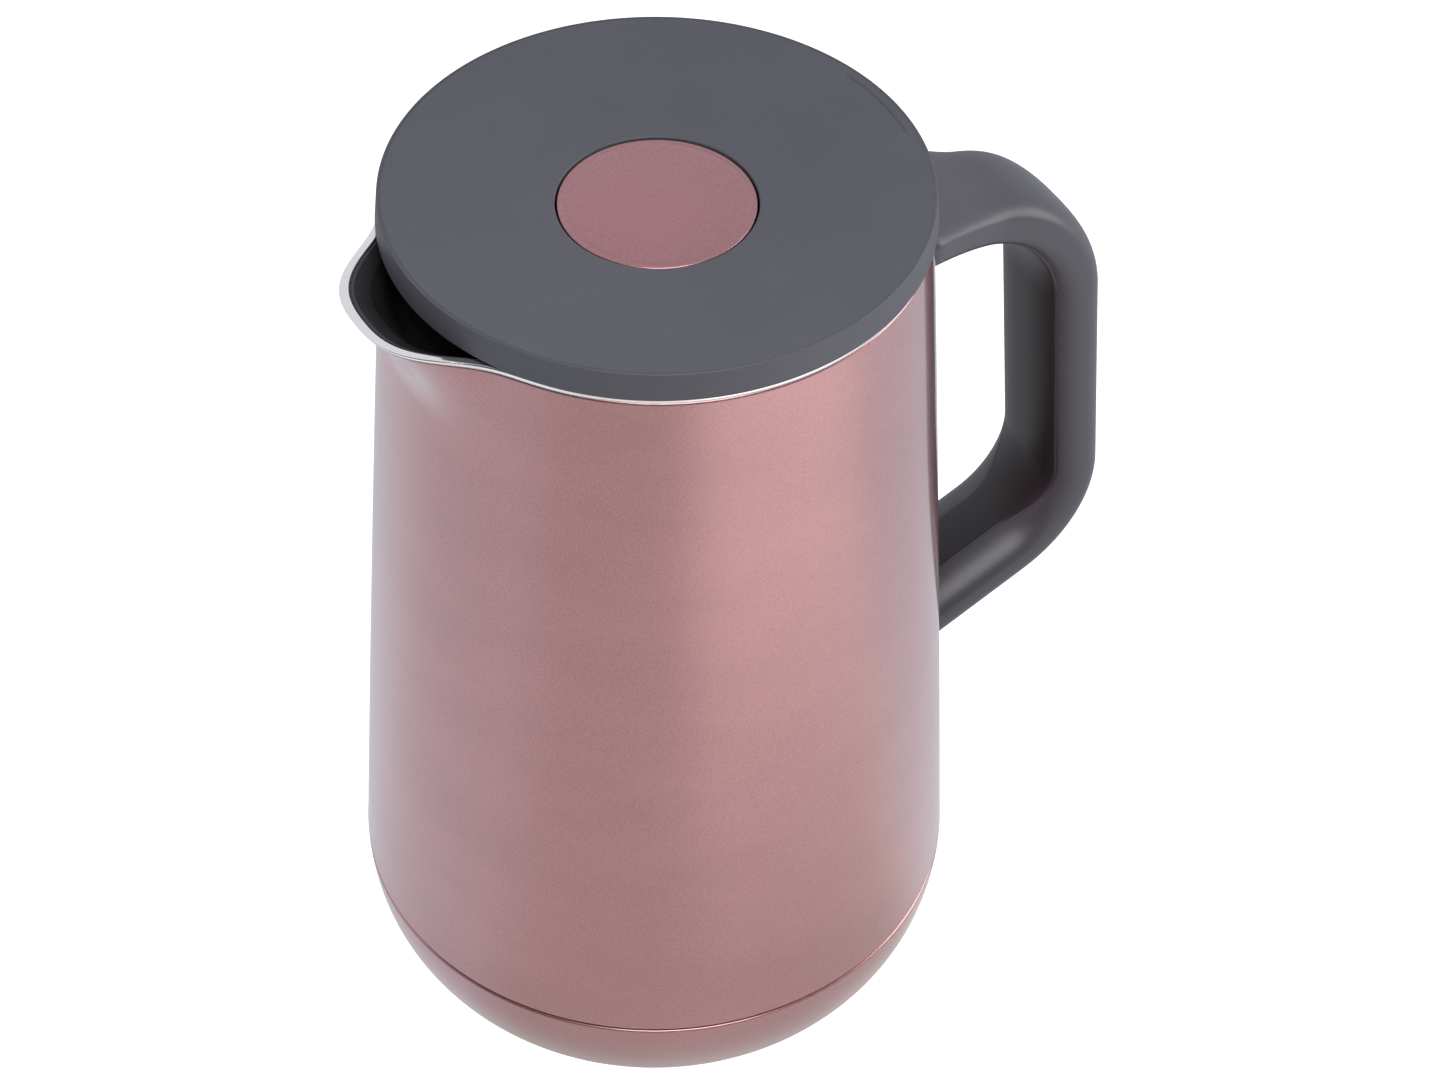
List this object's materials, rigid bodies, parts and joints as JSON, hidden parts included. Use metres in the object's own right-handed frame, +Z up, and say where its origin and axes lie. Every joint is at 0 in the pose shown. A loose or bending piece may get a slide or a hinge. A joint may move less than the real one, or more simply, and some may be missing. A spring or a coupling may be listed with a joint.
{
  "type": "insulated serving jug",
  "caption": "Insulated serving jug with a lacquered barrel body, loop handle, pouring lip and a flat round lid whose centre button opens the pouring valve.",
  "frame": {"origin": "centre of the base, on the surface the jug stands on", "axes": "+Z up along the jug's axis; the handle points to +X and the pouring lip to -X"},
  "size_m": [0.1873, 0.1396, 0.225],
  "materials": {
    "copper_lacquer": "rose-copper metallic lacquer on steel, satin gloss",
    "polished_steel": "polished bare stainless steel",
    "soft_grey": "dark grey soft-touch plastic",
    "black_gloss": "glossy black polypropylene",
    "inner_plastic": "black moulded plastic",
    "white_plastic": "natural acetal",
    "signal_plastic": "red acetal",
    "silicone": "black silicone rubber",
    "foot_rubber": "anti-slip rubber",
    "silvered_glass": "silvered borosilicate glass",
    "spring_steel": "drawn stainless wire",
    "steel": "plain stainless steel"
  },
  "bodies": {
    "jug": {"outer_shell": "copper_lacquer", "pouring_rim": "polished_steel", "pouring_collar": "black_gloss", "neck_gasket": "silicone", "flask_inner_wall": "silvered_glass", "flask_outer_wall": "silvered_glass", "flask_spacers": "white_plastic", "flask_cushion": "foot_rubber", "shell_thread_ring": "inner_plastic", "base_gasket": "silicone", "base_cap": "copper_lacquer", "base_insert": "inner_plastic", "foot_ring": "foot_rubber", "handle_upper_bracket": "steel", "handle_lower_bracket": "steel", "handle_shell": "soft_grey", "handle_inner_cover": "soft_grey", "handle_screws": "steel"},
    "throat_seal": {"lid_seal": "silicone"},
    "lid": {"lid_cover": "soft_grey", "lid_underplate": "inner_plastic", "lid_housing": "inner_plastic", "mechanism_cup": "inner_plastic", "chamber_seal": "silicone", "stem_seal": "silicone", "stem_seal_retainer": "inner_plastic", "latch_sleeve": "white_plastic", "lid_screws": "steel", "return_spring": "spring_steel"},
    "button": {"button_cap": "copper_lacquer", "button_carrier": "inner_plastic", "valve_stem": "steel", "valve_disc": "inner_plastic", "valve_seal": "silicone", "stem_nut": "steel"},
    "rotor": {"latch_rotor": "signal_plastic"}
  },
  "joints": [
    {"name": "lid_lift", "type": "slide", "parent": "jug", "child": "throat_seal", "axis": [0, 0, 1], "range_m": [0, 0.075]},
    {"name": "lid_turn", "type": "hinge", "parent": "throat_seal", "child": "lid", "pos_m": [0, 0, 0.2], "axis": [0, 0, 1], "range_deg": [0, 90]},
    {"name": "button_press", "type": "slide", "parent": "lid", "child": "button", "axis": [0, 0, -1], "range_m": [0, 0.005], "stiffness_N_per_m": 700, "springref_m": -0.003, "deforming": ["return_spring"]},
    {"name": "rotor_turn", "type": "hinge", "parent": "button", "child": "rotor", "pos_m": [0, 0, 0.2], "axis": [0, 0, 1], "range_deg": [0, 45]}
  ],
  "couplings": [
    {"joint": "rotor_turn", "follows": "button_press", "rad_per_m": 157}
  ]
}
